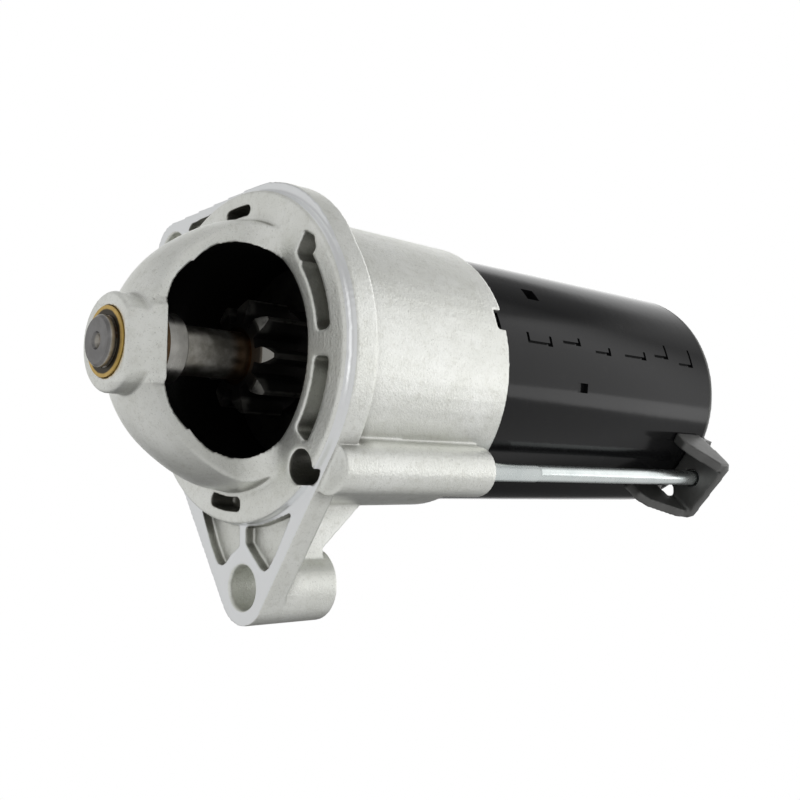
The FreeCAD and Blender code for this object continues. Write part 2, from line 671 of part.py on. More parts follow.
def rear_end_frame():
    """Pressed end cover with two channel-shaped lugs for the through-bolts."""
    edge = 0.5
    cover = turned([(YOKE_REAR_X, 0), (YOKE_REAR_X, YOKE_R), (END_X - edge, YOKE_R), (END_X, YOKE_R - edge),
                    (END_X, 0)])
    spigot = tube(BRUSH_PLATE_X[1] + 0.3, YOKE_REAR_X + 0.5, YOKE_IN_R - 0.05, 29.8)
    cup = rod(BRUSH_PLATE_X[1] - 1.5, YOKE_REAR_X + 0.5, 9.6)
    shapes = [cover, spigot, cup] + [spun(bolt_lug(), angle) for angle in BOLT_ANGLES]
    bore = rod(BRUSH_PLATE_X[1] - 3, YOKE_REAR_X, BUSH_R - 0.65)
    screw_holes = [rod(YOKE_REAR_X - 1, END_X + 1, 2.1, *polar(24, a)) for a in (0, 180)]
    return fused(shapes).cut([bore] + screw_holes)


def bolt_lug():
    """One lug, drawn on the +Y axis: a web across the bolt and two side walls bent forward."""
    web = rounded(block(LUG_X, LUG_X + LUG_T, 30, LUG_TOP_R, -LUG_HALF_W, LUG_HALF_W), 2.5)
    neck = sector(LUG_X + 1, END_X - 0.3, 33.0, 38.2, -17, 10)
    upper = [(LUG_X + 2, 30), (142.0, 30), (141.0, 38.2), (142.4, 40.6), (148.5, LUG_TOP_R - 0.5),
             (LUG_X + 2, LUG_TOP_R - 0.5)]
    lower = [(LUG_X + 2, 30), (134.5, 30), (134.3, 39.5), (136.5, 42.8), (148.5, LUG_TOP_R - 1.5),
             (LUG_X + 2, LUG_TOP_R - 1.0)]
    shapes = [web, neck]
    shapes.append(along(upper, -LUG_HALF_W, -LUG_HALF_W + LUG_WALL_T))
    shapes.append(along(lower, LUG_HALF_W - LUG_WALL_T, LUG_HALF_W))
    lug = fused(shapes)
    cuts = [rod(120, YOKE_REAR_X, YOKE_R + 0.1)]
    cuts.append(rod(LUG_X - 1, LUG_X + LUG_T + 1, BOLT_R + 0.4, BOLT_PITCH_R, 0))
    cuts.append(rod(LUG_X - 3, END_X + 1, 3.2, 37.2, LUG_HALF_W - 1.8))
    cuts.append(rod(LUG_X + LUG_T, END_X + 1, 6.0, BOLT_PITCH_R, 0))
    return lug.cut(cuts)


def through_bolt(angle):
    y, z = polar(BOLT_PITCH_R, angle)
    head_x = LUG_X + LUG_T + BOLT_WASHER_T
    x0, x1 = THREAD_X
    shank = turned([(x0, 0), (x0, 1.6), (x0 + 0.9, THREAD_R), (x1, THREAD_R), (x1 + 0.3, BOLT_R),
                    (head_x + 0.5, BOLT_R), (head_x + 0.5, 0)])
    return placed(shank, y, z).fuse(hexagon(head_x, head_x + 3.8, 8.0, y, z))


def brush_plate():
    plate = rod(*BRUSH_PLATE_X, 29.6).cut(rod(BRUSH_PLATE_X[0] - 1, BRUSH_PLATE_X[1] + 1, 10.2))
    screw_holes = [rod(BRUSH_PLATE_X[0] - 1, BRUSH_PLATE_X[1] + 1, 1.7, *polar(24, a)) for a in (0, 180)]
    lead_slot = block(BRUSH_PLATE_X[0] - 1, BRUSH_PLATE_X[1] + 1, 26, 32, LEAD_Z - 3, LEAD_Z + 3)
    return plate.cut(screw_holes + [lead_slot])


def brush_angle(i):
    return 45 + 360.0 * i / BRUSHES


def brush_box(i):
    outer = block(136.5, BRUSH_PLATE_X[0], 17.0, 28.0, -5.5, 5.5)
    inner = block(137.5, BRUSH_PLATE_X[0] - 1, 16.0, 29.0, -4.5, 4.5)
    return spun(outer.cut(inner), brush_angle(i))


def brush(i):
    bar = block(137.7, BRUSH_PLATE_X[0] - 1.2, COMMUTATOR_R - 1.5, 23.5, -4.3, 4.3)
    return spun(bar.cut(rod(130, 152, COMMUTATOR_R + 0.08)), brush_angle(i))


def coil_spring(r, wire_r, pitch, height):
    """Helical wire standing on the XY plane along Z."""
    helix = Part.makeHelix(pitch, height, r)
    start = V(r, 0, 0)
    circle = Part.Wire(Part.makeCircle(wire_r, start, V(0, 1, 0)))
    return Part.Wire(helix).makePipeShell([circle], True, True)


def brush_spring(i):
    shape = coil_spring(2.6, 0.4, 1.35, 4.0)
    shape.rotate(V(0, 0, 0), V(1, 0, 0), -90)
    shape.translate(V(143.3, 23.95, 0))
    return spun(shape, brush_angle(i))


# ---- shift fork and solenoid ----

def shift_fork():
    """Forked lever drawn upright, then tilted to its rest position about the pivot."""
    x, y = PIVOT_X, FORK_PIVOT_Y
    prong_in, prong_out = GROOVE_FLANGE_R + 0.4, 19.0
    prong = [(x - 4, y - 4), (x - 3.2, 4), (x - 2.4, -3), (x + 2.4, -3), (x + 3.2, 4), (x + 4, y - 4)]
    arm = [(x - 4, y - 6), (x + 4, y - 6), (x + 5.5, y), (x + 3.2, SOL_Y - 9.5), (x + 1.4, SOL_Y - 7.5),
           (x + 1.4, SOL_Y), (x - 1.4, SOL_Y), (x - 1.4, SOL_Y - 7.5), (x - 3.2, SOL_Y - 9.5), (x - 5.5, y)]
    shapes = [along(arm, -3.0, 3.0), block(x - 4, x + 4, y - 9, y - 4, -prong_out, prong_out)]
    for side in (-1, 1):
        z0, z1 = sorted((side * prong_in, side * prong_out))
        shapes.append(along(prong, z0, z1))
        pad0, pad1 = sorted((side * (SLEEVE_R + 0.4), side * prong_out))
        shapes.append(Part.makeCylinder(2.6, pad1 - pad0, V(x, 0, pad0), V(0, 0, 1)))
    shapes.append(Part.makeCylinder(5.5, 24, V(x, y, -12), V(0, 0, 1)))
    shapes.append(Part.makeCylinder(3.0, 6, V(x, SOL_Y, -3), V(0, 0, 1)))
    fork = fused(shapes).cut(Part.makeCylinder(3.05, 60, V(x, y, -30), V(0, 0, 1)))
    fork.rotate(V(x, y, 0), V(0, 0, 1), FORK_TILT)
    return fork


def hook_x():
    return PIVOT_X - FORK_UPPER * math.sin(math.radians(FORK_TILT))


def plunger():
    x = hook_x()
    body = turned([(x - 7, 0), (x - 7, 6), (x + 8, 6), (x + 8, PLUNGER_R), (PLUNGER_REAR_X, PLUNGER_R),
                   (PLUNGER_REAR_X, 0)])
    slot = block(x - 3.2, x + 3.2, -20, 20, -3.3, 3.3)
    return placed(body.cut([slot, rod(56, PLUNGER_REAR_X + 1, 6.0)]), SOL_Y, 0)


def solenoid_case():
    x0, x1 = SOL_X
    shapes = [turned([(x0, 10.3), (x0, SOL_R), (x1, SOL_R), (x1, 21.3), (x0 + 3, 21.3), (x0 + 3, 10.3)])]
    for y, z in SOL_LUGS:
        lug = rod(x0, x0 + 3, 5.2, y - SOL_Y, z).fuse(rod(x0, x0 + 3, 5.2, (y - SOL_Y) * 0.75, z * 0.75))
        shapes.append(lug.cut(rod(x0, x0 + 3.1, 20)))
    case = fused(shapes)
    return placed(case.cut([rod(x0 - 1, x0 + 4, 2.7, y - SOL_Y, z) for y, z in SOL_LUGS]), SOL_Y, 0)


def bobbin():
    return placed(turned([(50.2, 10.4), (50.2, 21.1), (51.6, 21.1), (51.6, 12.0), (90.4, 12.0), (90.4, 21.1),
                          (91.8, 21.1), (91.8, 10.4)]), SOL_Y, 0)


def fixed_core():
    outline = [(78, 3.5), (78, 10.2), (92, 10.2), (92, 21.2), (97, 21.2), (97, 3.5)]
    return placed(turned(outline), SOL_Y, 0)


def contact_rod():
    return rod(79.5, 100, 3.2, SOL_Y, 0)


def contact_disc():
    return tube(100.5, 102.0, 13.5, 3.0, SOL_Y, 0).fuse(rod(100.0, 100.5, 5.0, SOL_Y, 0)).fuse(
        rod(100.5, 103.0, 3.0, SOL_Y, 0))


def solenoid_cap():
    x0, x1 = CAP_X
    cap = turned([(97.2, 18.8), (97.2, 21.1), (x0, 21.1), (x0, SOL_R), (x1 - 2, SOL_R), (x1, SOL_R - 2),
                  (x1, 0), (x1 - 4, 0), (x1 - 4, 18.8)])
    cap = placed(cap, SOL_Y, 0)
    for y, z in (BATTERY_STUD, MOTOR_STUD):
        cap = cap.fuse(rod(x1 - 1, x1 + 2, 8.0, y, z))
    slot = block(x1 - 6, x1 + 1, SOL_Y - 3.3, SOL_Y + 3.3, 13.5, 14.5)
    return cap.cut([rod(x0, x1 + 3, STUD_R + 0.1, y, z) for y, z in (BATTERY_STUD, MOTOR_STUD)] + [slot])


def terminal_stud(y, z, end):
    """Stud with its head inside the cap and a thread relief behind the first nut."""
    r0, r1 = RELIEF_X
    outline = [(105.0, 0), (105.0, 5.2), (107.5, 5.2), (107.5, STUD_R), (r0, STUD_R), (r0, RELIEF_R),
               (r1, RELIEF_R), (r1, STUD_R), (end - 1, STUD_R), (end, STUD_R - 0.8), (end, 0)]
    return placed(turned(outline), y, z)


def trigger_blade():
    x1 = CAP_X[1]
    points = [(x1 - 5.5, SOL_Y - 3.15), (x1 + 10, SOL_Y - 3.15), (x1 + 11.5, SOL_Y - 1.8),
              (x1 + 11.5, SOL_Y + 1.8), (x1 + 10, SOL_Y + 3.15), (x1 - 5.5, SOL_Y + 3.15)]
    blade = along(points, 13.6, 14.4)
    return blade.cut(Part.makeCylinder(0.9, 3, V(x1 + 7, SOL_Y, 12.5), V(0, 0, 1)))


def solenoid_screw(y, z):
    x = SOL_X[0] + 3
    shank = rod(x - 12.5, x + 0.5, 2.4, y, z)
    socket = hexagon(x + 1.5, x + 6, 4.0, y, z)
    return shank.fuse(rod(x, x + 4.8, 4.2, y, z)).cut(socket)


def motor_lead():
    """Insulated lead from the motor terminal into the yoke: runs joined by tangent arcs."""
    y, z = MOTOR_STUD
    x = sum(RING_TERMINAL_X) / 2
    bend = LEAD_BEND
    back = bend * (1 - math.sqrt(0.5))
    corner_1 = V(x, LEAD_START_Y - bend, z)
    corner_2 = V(LEAD_X, LEAD_START_Y - bend, z)
    start = V(x, LEAD_START_Y, z)
    arc_1 = Part.Arc(start, corner_1 + V(back, back, 0), corner_1 + V(bend, 0, 0))
    arc_2 = Part.Arc(corner_2 - V(bend, 0, 0), corner_2 - V(back, back, 0), corner_2 - V(0, bend, 0))
    edges = [
        arc_1.toShape(),
        Part.makeLine(corner_1 + V(bend, 0, 0), corner_2 - V(bend, 0, 0)), arc_2.toShape(),
        Part.makeLine(corner_2 - V(0, bend, 0), V(LEAD_X, 29.5, z)),
    ]
    profile = Part.Wire(Part.makeCircle(LEAD_R, start, V(0, 1, 0)))
    return Part.Wire(edges).makePipeShell([profile], True, True)


def lead_terminal():
    x0, x1 = RING_TERMINAL_X
    y, z = MOTOR_STUD
    eye = rod(x0, x1, 7.0, y, z).fuse(block(x0, x1, LEAD_START_Y, y, z - 3.2, z + 3.2))
    return eye.cut(rod(x0 - 1, x1 + 1, STUD_R + 0.2, y, z))


def lead_grommet():
    body = Part.makeCylinder(4.4, 6.0, V(LEAD_X, 30.4, LEAD_Z), V(0, 1, 0))
    lip = Part.makeCylinder(6.2, 1.5, V(LEAD_X, 35.1, LEAD_Z), V(0, 1, 0))
    bore = Part.makeCylinder(LEAD_R, 20, V(LEAD_X, 25, LEAD_Z), V(0, 1, 0))
    return body.fuse(lip).cut([bore])


def build():
    os.makedirs("parts", exist_ok=True)
    save("drive_housing", drive_housing())
    save("nose_bush", tube(NOSE_X - 0.4, NOSE_INNER_X, BUSH_R, SHAFT_R + RUN_GAP))
    save("nose_thrust_washer", tube(NOSE_INNER_X + 0.02, -27.2, 9.3, SHAFT_R + RUN_GAP))
    save("drive_shaft", drive_shaft())
    save("stop_collar", stop_collar())
    save("stop_snap_ring", tube(snap_groove()[0] + 0.1, snap_groove()[1] - 0.1, 6.9, 5.35))
    save("pinion", pinion())
    bore_r = SHAFT_R + RUN_GAP
    save("pinion_bush", tube(PINION_X[0] + 0.6, PINION_BUSH_REAR_X, bore_r + 1.2, bore_r))
    save("clutch_shell", clutch_shell())
    save("clutch_cover", clutch_cover())
    save("clutch_rollers", *clutch_rollers())
    save("clutch_springs", *clutch_springs())

    save("centre_plate", centre_plate())
    save("centre_bush", tube(SEAT_X - 0.4, YOKE_FRONT_X + 0.45, 10.0, JOURNAL_R + RUN_GAP))
    save("ring_gear", ring_gear())
    save("planet_carrier", carrier())
    pins = [rod(YOKE_FRONT_X + 0.9, GEAR_X[1] + 0.4, 3.5, *polar(CENTRE_DISTANCE, planet_angle(i)))
            for i in range(PLANETS)]
    save("planet_pins", *pins)
    for i in range(PLANETS):
        save("planet_gear_%d" % (i + 1), planet_gear(i))
    save("gear_cover_plate", tube(GEAR_X[1] + 1.6, GEAR_X[1] + 2.8, YOKE_IN_R - 0.05, 9.5))

    save("armature_shaft", armature_shaft())
    save("armature_core", armature_core())
    save("armature_winding", armature_winding())
    save("commutator", commutator())
    save("yoke_tube", yoke_tube())
    save("magnets", *[magnet(i) for i in range(MAGNETS)])
    save("magnet_clips", *[magnet_clip(i) for i in range(MAGNETS)])
    save("rear_end_frame", rear_end_frame())
    save("rear_bush", tube(BRUSH_PLATE_X[1] - 1.5, YOKE_REAR_X - 0.1, BUSH_R - 0.65, 5.0))
    save("through_bolts", *[through_bolt(angle) for angle in BOLT_ANGLES])
    save("bolt_washers", *[tube(LUG_X + LUG_T, LUG_X + LUG_T + BOLT_WASHER_T, 4.6, BOLT_R + 0.1,
                                *polar(BOLT_PITCH_R, angle)) for angle in BOLT_ANGLES])
    save("brush_plate", brush_plate())
    save("brush_boxes", *[brush_box(i) for i in range(BRUSHES)])
    save("brushes", *[brush(i) for i in range(BRUSHES)])
    save("brush_springs", *[brush_spring(i) for i in range(BRUSHES)])
    screws = [rod(BRUSH_PLATE_X[0] - 1.5, END_X, 1.65, *polar(24, a)).fuse(
        rod(END_X, END_X + 2.2, 3.4, *polar(24, a))) for a in (0, 180)]
    save("end_frame_screws", *screws)

    save("shift_fork", shift_fork())
    save("fork_pivot_pin", Part.makeCylinder(2.98, 2 * LEVER_HALF_Z, V(PIVOT_X, FORK_PIVOT_Y, -LEVER_HALF_Z),
                                             V(0, 0, 1)))
    save("plunger", plunger())
    spring = coil_spring(4.8, 0.6, 3.4, 20.4)
    spring.rotate(V(0, 0, 0), V(0, 1, 0), 90)
    spring.translate(V(56.8, SOL_Y, 0))
    save("return_spring", spring)
    save("solenoid_case", solenoid_case())
    save("solenoid_bobbin", bobbin())
    save("solenoid_coil", tube(51.8, 90.2, 20.6, 12.1, SOL_Y, 0))
    save("solenoid_core", fixed_core())
    save("contact_rod", contact_rod())
    save("contact_disc", contact_disc())
    save("solenoid_cap", solenoid_cap())
    save("battery_stud", terminal_stud(*BATTERY_STUD, BATTERY_STUD_END))
    save("motor_stud", terminal_stud(*MOTOR_STUD, MOTOR_STUD_END))
    inner_nut, outer_nut = NUT_X
    nuts = [hexagon(*inner_nut, NUT_FLATS, *stud, STUD_R + 0.05) for stud in (BATTERY_STUD, MOTOR_STUD)]
    nuts.append(hexagon(*outer_nut, NUT_FLATS, *MOTOR_STUD, STUD_R + 0.05))
    save("terminal_nuts", *nuts)
    save("terminal_washer", tube(124.2, 125.4, 7.5, STUD_R + 0.2, *MOTOR_STUD))
    save("trigger_terminal", trigger_blade())
    save("solenoid_screws", *[solenoid_screw(y, z) for y, z in SOL_LUGS])
    save("motor_lead", motor_lead())
    save("lead_terminal", lead_terminal())
    save("lead_grommet", lead_grommet())


build()
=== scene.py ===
import bpy
import bmesh
import json
import math
from mathutils import Matrix, Vector


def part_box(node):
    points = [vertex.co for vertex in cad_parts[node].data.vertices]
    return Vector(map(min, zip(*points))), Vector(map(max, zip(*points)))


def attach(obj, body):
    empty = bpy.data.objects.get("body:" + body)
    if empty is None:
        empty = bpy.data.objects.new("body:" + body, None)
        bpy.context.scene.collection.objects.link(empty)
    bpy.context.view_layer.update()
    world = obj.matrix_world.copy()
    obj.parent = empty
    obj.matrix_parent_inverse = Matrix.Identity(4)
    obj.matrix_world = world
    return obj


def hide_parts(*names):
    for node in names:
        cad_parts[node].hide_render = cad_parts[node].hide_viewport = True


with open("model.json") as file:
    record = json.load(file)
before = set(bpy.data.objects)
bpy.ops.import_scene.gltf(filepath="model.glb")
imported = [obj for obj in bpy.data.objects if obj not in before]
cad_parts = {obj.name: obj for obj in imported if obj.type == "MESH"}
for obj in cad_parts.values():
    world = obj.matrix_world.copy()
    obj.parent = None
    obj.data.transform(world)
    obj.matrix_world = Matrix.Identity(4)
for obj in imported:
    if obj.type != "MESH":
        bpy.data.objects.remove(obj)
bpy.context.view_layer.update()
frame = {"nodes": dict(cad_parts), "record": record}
NODES = frame["nodes"]
MM = 0.001

# Boxes of the nodes that the looks depend on, in metres, read from the frame
BOLT_LO, BOLT_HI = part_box("through_bolts")
PINION_LO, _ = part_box("pinion")
HOUSING_LO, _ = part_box("drive_housing")
SHAFT_LO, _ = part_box("drive_shaft")

# Drive housing: the pilot, the (y, z) and radius of its holes, and the space round the pinion
PILOT_R = 41.25 * MM
EAR_HOLE = (0.5 * MM, -56.8 * MM)
EAR_HOLE_R = 5.5 * MM
CORE_HOLE = (-25.45 * MM, -27.68 * MM)
CORE_HOLE_R = 4.1 * MM
CHAMBER_R = 28.5 * MM
NOSE_BORE_R = 9.0 * MM
FLANGE_BACK_X = 8.0 * MM

# Fineness and smoothing of the rounded copies
CASTING_VOXEL = 0.42 * MM
CASTING_ROUNDS = 4
PRESSING_VOXEL = 0.5 * MM
PRESSING_ROUNDS = 3

# Creases beside the flat band across the dome, from the nose ring to the window
BAND_HALF_Z = 9.2 * MM
BAND_Y = -9.0 * MM
CREASE_HALF_W = 1.1 * MM
CREASE_DEPTH = 0.5 * MM
CREASE_FROM_X = -33.0 * MM
CREASE_TO_X = -14.0 * MM

# Through-bolts
BOLT_SIDES = 36
BOLT_PITCH_R = 41.7 * MM
BOLT_TURNS = (math.radians(221.8), math.radians(41.8))
BOLT_TIP_X = BOLT_LO.x
THREAD_END_X = 74.0 * MM
THREAD_PITCH = 0.8 * MM
RINGS_PER_TURN = 8
THREAD_DEPTH = 0.42 * MM
THREAD_R = 2.45 * MM
SHANK_R = 2.3 * MM
HEAD_X = BOLT_HI.x - 3.8 * MM
HEAD_FLATS = 8.0 * MM
HEAD_CORNER_R = 9.0 * MM
HEAD_BEVEL_R = 3.95 * MM

# Camera
CAMERA_PLACE = Vector((-0.15337, -0.21978, -0.03427))
CAMERA_RIGHT = Vector((0.7297, -0.68374, 0.00619))
CAMERA_FORWARD = Vector((0.68061, 0.72717, 0.08941))
CAMERA_LENS = 48.318

# Floor
FLOOR_HALF = 6.0
FLOOR_BELOW = 0.25

# Brightness of the studio by direction
BACKDROP = 1.45
BACKDROP_LEFT = 0.7
SOFT_BOX = 1.1
LAMP_EDGE = 2.0
NEAR_SHADE = 0.5
FRONT = 0.62
CEILING = 0.42
CEILING_TOP = 0.6
GROUND_NEAR = 0.55
GROUND_DEEP = 0.6
GROUND_BACK = 0.10


# ---- material helpers ----

class Shader:
    """A node material with one Principled shader and short calls for the usual maths."""

    def __init__(self, name, color, roughness, metallic=0.0):
        self.material = bpy.data.materials.new(name)
        self.material.use_nodes = True
        self.tree = self.material.node_tree
        self.shader = self.tree.nodes["Principled BSDF"]
        self.set("Base Color", (*color, 1.0))
        self.set("Roughness", roughness)
        self.set("Metallic", metallic)
        self.place = self.node("ShaderNodeTexCoord").outputs["Object"]

    def set(self, socket, value):
        self.shader.inputs[socket].default_value = value

    def node(self, kind, **settings):
        made = self.tree.nodes.new(kind)
        for key, value in settings.items():
            setattr(made, key, value)
        return made

    def link(self, out, socket):
        self.tree.links.new(out, socket)

    def into(self, out, socket):
        self.link(out, self.shader.inputs[socket])

    def math(self, operation, *values):
        made = self.node("ShaderNodeMath", operation=operation)
        for value, socket in zip(values, made.inputs):
            if isinstance(value, (int, float)):
                socket.default_value = value
            else:
                self.link(value, socket)
        return made.outputs[0]

    def times(self, first, *others):
        product = first
        for other in others:
            product = self.math("MULTIPLY", product, other)
        return product

    def length(self, a, b):
        return self.math("SQRT", self.math("ADD", self.times(a, a), self.times(b, b)))

    def split(self):
        made = self.node("ShaderNodeSeparateXYZ")
        self.link(self.place, made.inputs[0])
        return made.outputs

    def stretched(self, scale):
        made = self.node("ShaderNodeMapping")
        self.link(self.place, made.inputs["Vector"])
        made.inputs["Scale"].default_value = scale
        return made.outputs[0]

    def noise(self, scale, detail=3.0, rough=0.55, vector=None):
        made = self.node("ShaderNodeTexNoise")
        made.inputs["Scale"].default_value = scale
        made.inputs["Detail"].default_value = detail
        made.inputs["Roughness"].default_value = rough
        self.link(vector or self.place, made.inputs["Vector"])
        return made.outputs["Fac"]

    def cells(self, scale):
        made = self.node("ShaderNodeTexVoronoi")
        made.inputs["Scale"].default_value = scale
        self.link(self.place, made.inputs["Vector"])
        return made.outputs["Distance"]

    def mix(self, factor, a, b):
        made = self.node("ShaderNodeMix", data_type="RGBA")
        self.link(factor, made.inputs[0])
        for value, socket in ((a, made.inputs[6]), (b, made.inputs[7])):
            if isinstance(value, tuple):
                socket.default_value = (*value, 1.0)
            else:
                self.link(value, socket)
        return made.outputs[2]

    def blend_value(self, factor, a, b):
        made = self.node("ShaderNodeMix", data_type="FLOAT")
        self.link(factor, made.inputs[0])
        for value, socket in ((a, made.inputs[2]), (b, made.inputs[3])):
            if isinstance(value, (int, float)):
                socket.default_value = value
            else:
                self.link(value, socket)
        return made.outputs[0]

    def bump(self, *layers):
        """Each layer is (height, depth in metres, strength)."""
        normal = None
        for height, depth, strength in layers:
            made = self.node("ShaderNodeBump")
            made.inputs["Distance"].default_value = depth
            made.inputs["Strength"].default_value = strength
            self.link(height, made.inputs["Height"])
            if normal:
                self.link(normal, made.inputs["Normal"])
            normal = made.outputs[0]
        self.into(normal, "Normal")

    def away_from(self, centre):
        """Distance from a line along X through centre, a (y, z) pair."""
        _, y, z = self.split()
        return self.length(self.math("SUBTRACT", y, centre[0]), self.math("SUBTRACT", z, centre[1]))

    def open_sky(self, reach):
        """1 on open faces and less in recesses and corners; it sets where shade is painted."""
        made = self.node("ShaderNodeAmbientOcclusion", samples=6)
        made.inputs["Distance"].default_value = reach
        return made.outputs["AO"]

    def radius(self):
        """Distance from the shaft axis."""
        _, y, z = self.split()
        return self.length(y, z)

    def normal(self):
        made = self.node("ShaderNodeSeparateXYZ")
        self.link(self.node("ShaderNodeTexCoord").outputs["Normal"], made.inputs[0])
        return made.outputs

    def outwards(self):
        """Cosine between the surface normal and the direction away from the shaft axis."""
        _, normal_y, normal_z = self.normal()
        _, y, z = self.split()
        along = self.math("ADD", self.times(y, normal_y), self.times(z, normal_z))
        return self.math("DIVIDE", along, self.radius())

    def step(self, value, start, end):
        """0 before start and 1 after end."""
        made = self.node("ShaderNodeMapRange", clamp=True, interpolation_type="SMOOTHSTEP")
        self.link(value, made.inputs["Value"])
        made.inputs["From Min"].default_value = start
        made.inputs["From Max"].default_value = end
        return made.outputs[0]


# ---- materials ----

def tool_cut(s):
    """1 on the faces of the casting that a tool has cut: flange face and pilot rim."""
    x = s.split()[0]
    r = s.radius()
    face = s.times(s.step(x, -0.25 * MM, -0.12 * MM), s.step(x, 0.25 * MM, 0.12 * MM))
    face = s.times(face, s.step(r, PILOT_R + 0.1 * MM, PILOT_R + 0.25 * MM))
    rim = s.times(s.step(r, PILOT_R - 0.25 * MM, PILOT_R - 0.15 * MM), s.step(x, 0.05 * MM, -0.05 * MM))
    return s.math("MAXIMUM", face, rim)


def painted_recess_shade(s):
    """Up to 0.85 of painted shade in corners, on pocket walls and in the cored hole, set by ambient
    occlusion; less behind the flange.
    """
    x = s.split()[0]
    sky = s.open_sky(5.0 * MM)
    along = s.math("ABSOLUTE", s.normal()[0])
    wall = s.times(s.step(along, 0.80, 0.50), s.step(sky, 0.92, 0.74), 0.85)
    wall = s.times(wall, s.step(s.away_from(EAR_HOLE), EAR_HOLE_R + 0.7 * MM, EAR_HOLE_R + 1.3 * MM))
    found = s.math("MAXIMUM", s.times(s.step(sky, 0.75, 0.30), 0.8), wall)
    found = s.times(found, s.blend_value(s.step(x, FLANGE_BACK_X + 6.0 * MM, FLANGE_BACK_X), 0.3, 1.0))
    in_core = s.times(s.step(s.away_from(CORE_HOLE), CORE_HOLE_R + 1.1 * MM, CORE_HOLE_R + 0.5 * MM),
                      s.step(along, 0.75, 0.45))
    return s.math("MAXIMUM", found, s.times(in_core, 0.85))


def shaded_dome(s, skin):
    """Painted shade: the dome is darker below its flat band, with a painted dark shadow in a crease along
    each side of the band.
    """
    x, y, z = s.split()
    dome = s.times(s.step(x, -5.0 * MM, -13.0 * MM), s.step(y, 6.0 * MM, -14.0 * MM))
    below_band = s.times(dome, s.step(z, -BAND_HALF_Z, -BAND_HALF_Z - 0.5 * MM))
    # painted shade: the dome below its flat band is darkened
    skin = s.mix(s.times(below_band, 0.42), skin, (0.42, 0.42, 0.40))
    # painted shadow in the crease along each side of the band
    aside = s.math("ABSOLUTE", s.math("SUBTRACT", s.math("ABSOLUTE", z), BAND_HALF_Z + 0.2 * MM))
    crease = s.times(s.step(aside, 0.8 * MM, 0.2 * MM), s.step(y, BAND_Y, BAND_Y - 2.0 * MM))
    crease = s.times(crease, s.step(x, CREASE_FROM_X, CREASE_FROM_X + MM))
    crease = s.times(crease, s.step(x, CREASE_TO_X, CREASE_TO_X - 4.0 * MM))
    return s.mix(s.times(crease, 0.45), skin, (0.22, 0.22, 0.21))


def cast_aluminium():
    """Die-cast skin, bright where a tool has cut it, with painted shade inside the chamber."""
    s = Shader("cast_aluminium", (0.9, 0.91, 0.87), 0.38, 0.92)
    grain = s.noise(1500.0, 4.0, 0.65)
    blotch = s.noise(70.0, 4.0, 0.6)
    pits = s.cells(900.0)
    cut = tool_cut(s)
    skin = s.mix(s.step(blotch, 0.35, 0.7), (0.87, 0.88, 0.83), (0.95, 0.96, 0.92))
    speck = s.step(s.noise(2600.0, 2.0, 0.5), 0.60, 0.72)
    skin = s.mix(s.times(speck, 0.40), skin, (0.40, 0.40, 0.37))
    stain = s.step(s.noise(520.0, 5.0, 0.7), 0.48, 0.72)
    skin = s.mix(s.times(stain, 0.35), skin, (0.60, 0.60, 0.53))
    # painted shade: corners, pocket walls and the cored hole are darkened to brown-black by ambient
    # occlusion
    skin = s.mix(painted_recess_shade(s), skin, (0.13, 0.125, 0.105))
    # painted shade below the dome's flat band and in its creases
    skin = shaded_dome(s, skin)
    # painted shade: the chamber's inner wall, facing the shaft axis, is darkened to near black
    r = s.radius()
    chamber = s.times(s.step(r, CHAMBER_R + 0.5 * MM, CHAMBER_R),
                      s.step(r, NOSE_BORE_R, NOSE_BORE_R + 0.5 * MM))
    skin = s.mix(s.times(chamber, s.step(s.outwards(), -0.20, -0.75)), skin, (0.07, 0.07, 0.068))
    tool = s.noise(1.0, 2.0, 0.5, s.stretched((900.0, 40.0, 40.0)))
    bright = s.mix(tool, (0.92, 0.935, 0.94), (0.955, 0.97, 0.975))
    s.into(s.mix(cut, skin, bright), "Base Color")
    s.into(s.blend_value(cut, s.blend_value(grain, 0.30, 0.48), 0.30), "Roughness")
    rough = s.times(grain, s.math("SUBTRACT", 1.0, s.times(cut, 0.85)))
    s.bump((blotch, 0.25 * MM, 0.25), (rough, 0.16 * MM, 0.75), (pits, 0.03 * MM, 0.35))
    return s.material


def black_paint():
    """Black enamel over rolled steel."""
    s = Shader("black_paint", (0.012, 0.012, 0.013), 0.12, 0.0)
    s.set("IOR", 1.3)
    grazing = s.node("ShaderNodeLayerWeight")
    grazing.inputs["Blend"].default_value = 0.5
    edge_on = s.step(grazing.outputs["Facing"], 0.45, 0.56)
    s.into(s.blend_value(edge_on, 0.60, 0.10), "Specular IOR Level")
    peel = s.noise(420.0, 2.0, 0.4)
    dust = s.step(s.noise(160.0, 5.0, 0.7), 0.56, 0.74)
    s.into(s.mix(s.times(dust, 0.12), (0.009, 0.009, 0.0095), (0.05, 0.05, 0.05)), "Base Color")
    s.into(s.blend_value(s.noise(35.0, 3.0, 0.6), 0.07, 0.16), "Roughness")
    wave = s.noise(45.0, 1.0, 0.3, s.stretched((0.35, 1.0, 1.0)))
    s.bump((wave, 0.25 * MM, 0.35), (peel, 0.03 * MM, 0.35))
    return s.material


def metal(name, dark, light, roughness, metallic=1.0, grain=1200.0, streak=None, depth=0.02):
    """Plain metal with slight colour drift, fine grain and optional turning marks along one axis."""
    s = Shader(name, light, roughness, metallic)
    drift = s.noise(120.0, 4.0, 0.6)
    s.into(s.mix(s.step(drift, 0.3, 0.7), dark, light), "Base Color")
    fine = s.noise(grain, 3.0, 0.6) if streak is None else s.noise(1.0, 3.0, 0.6, s.stretched(streak))
    s.into(s.blend_value(fine, max(0.05, roughness - 0.09), roughness + 0.11), "Roughness")
    s.bump((fine, depth * MM, 0.5))
    return s.material


